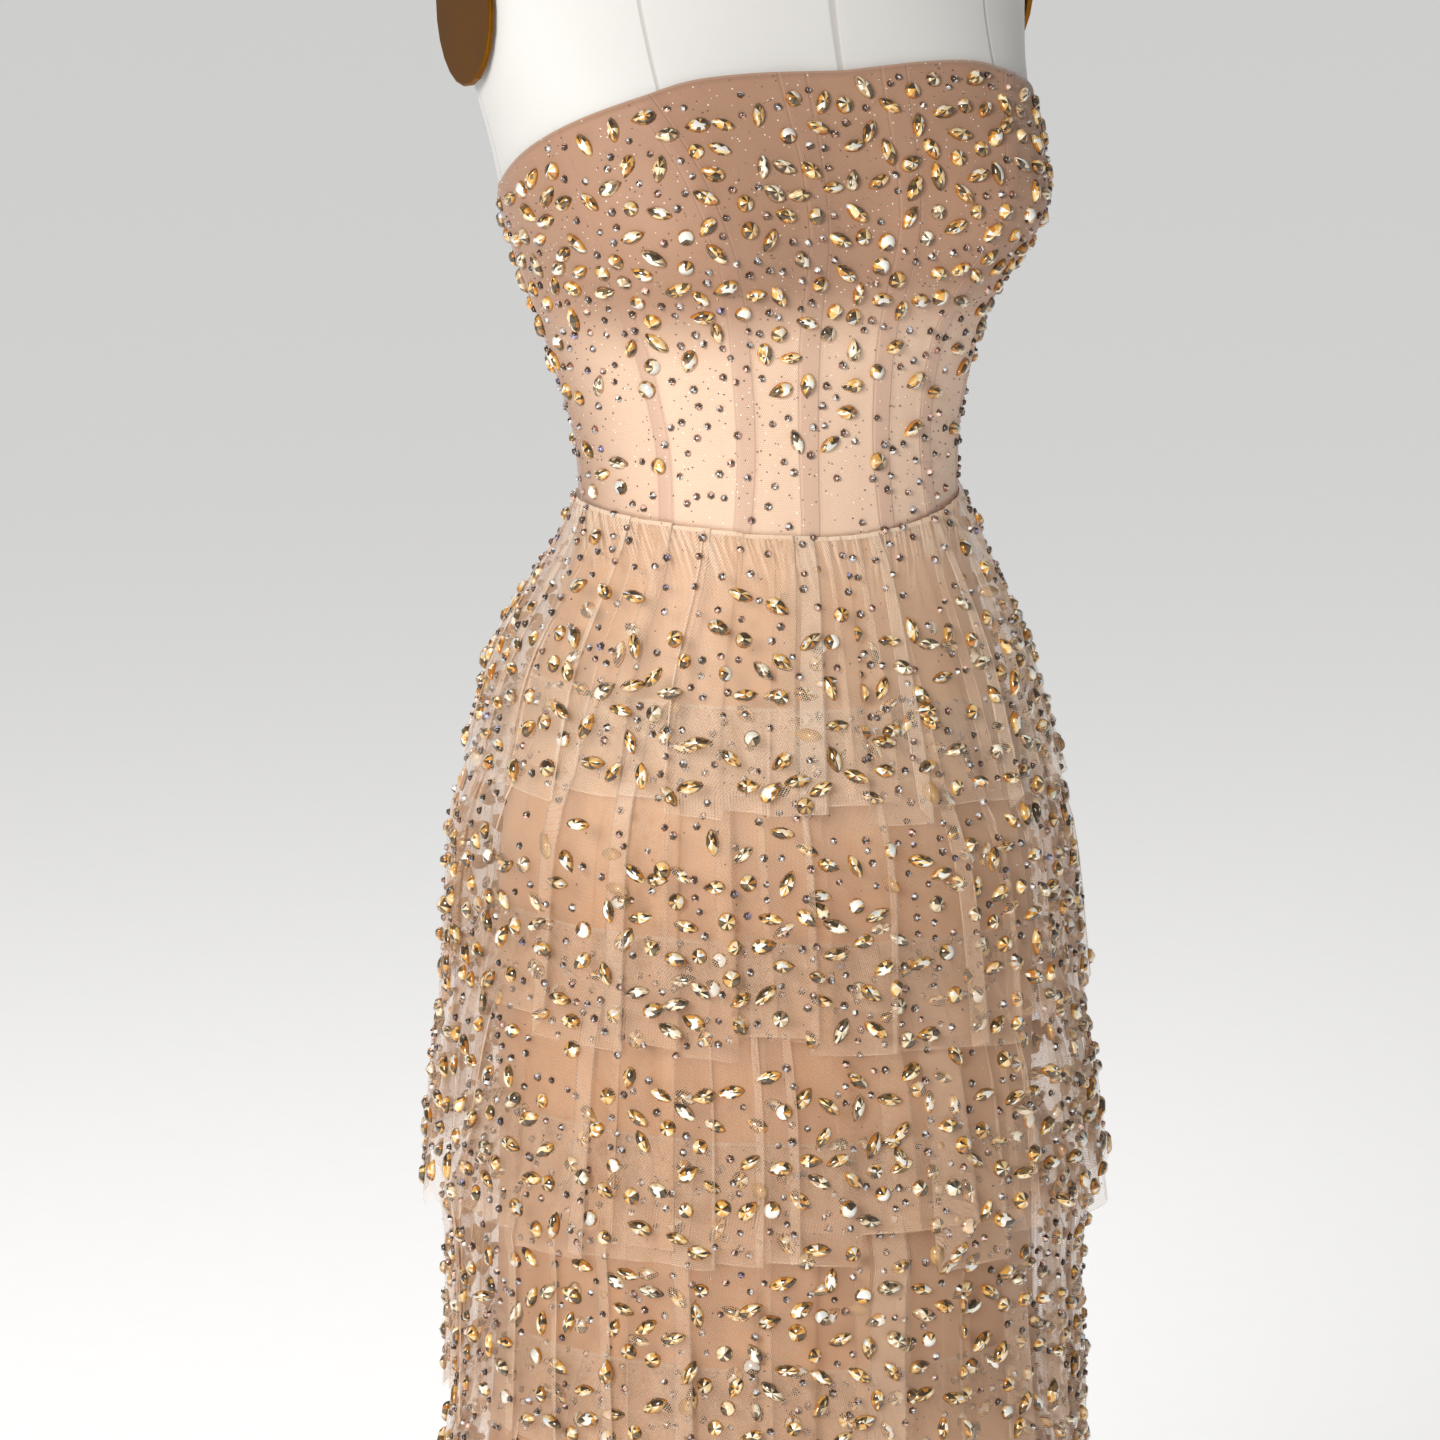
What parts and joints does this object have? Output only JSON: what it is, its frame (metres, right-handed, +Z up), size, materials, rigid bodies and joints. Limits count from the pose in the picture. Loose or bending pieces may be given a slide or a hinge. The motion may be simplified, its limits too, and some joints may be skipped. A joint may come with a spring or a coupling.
{
  "type": "tiered mermaid evening dress on a dress form",
  "caption": "Strapless boned bodice over a fitted skirt of pleated net tiers that flares at the hem, worn by a limbless dress form on a round base.",
  "frame": {"origin": "on the floor under the middle of the stand's round base", "axes": "+Z up along the pole, -Y towards the wearer's front, +X towards the wearer's left"},
  "size_m": [0.6694, 0.6584, 1.5553],
  "materials": {
    "nude_bodice": "nude net over satin, matt",
    "peach_lining": "soft satin lining",
    "nude_net": "fine sheer hexagonal net, pleated",
    "form_linen": "tight off-white linen cover",
    "bronze_plate": "dark satin bronze",
    "black_iron": "black enamel",
    "crystal": "faceted champagne glass stones with foiled backs"
  },
  "bodies": {
    "root": {"bodice_centre_front": "nude_bodice", "bodice_inner_front_left": "nude_bodice", "bodice_inner_front_right": "nude_bodice", "bodice_side_front_left": "nude_bodice", "bodice_side_front_right": "nude_bodice", "bodice_side_left": "nude_bodice", "bodice_side_right": "nude_bodice", "bodice_side_back_left": "nude_bodice", "bodice_side_back_right": "nude_bodice", "bodice_back_left": "nude_bodice", "bodice_back_right": "nude_bodice", "skirt_lining_front": "peach_lining", "skirt_lining_back": "peach_lining", "net_tier_1": "nude_net", "net_tier_2": "nude_net", "net_tier_3": "nude_net", "net_tier_4": "nude_net", "net_tier_5": "nude_net", "net_tier_6": "nude_net", "net_tier_7": "nude_net", "form_torso": "form_linen", "form_arm_plate_left": "bronze_plate", "form_arm_plate_right": "bronze_plate", "form_neck_plate": "bronze_plate", "form_pole": "black_iron", "form_base": "black_iron"}
  },
  "joints": []
}
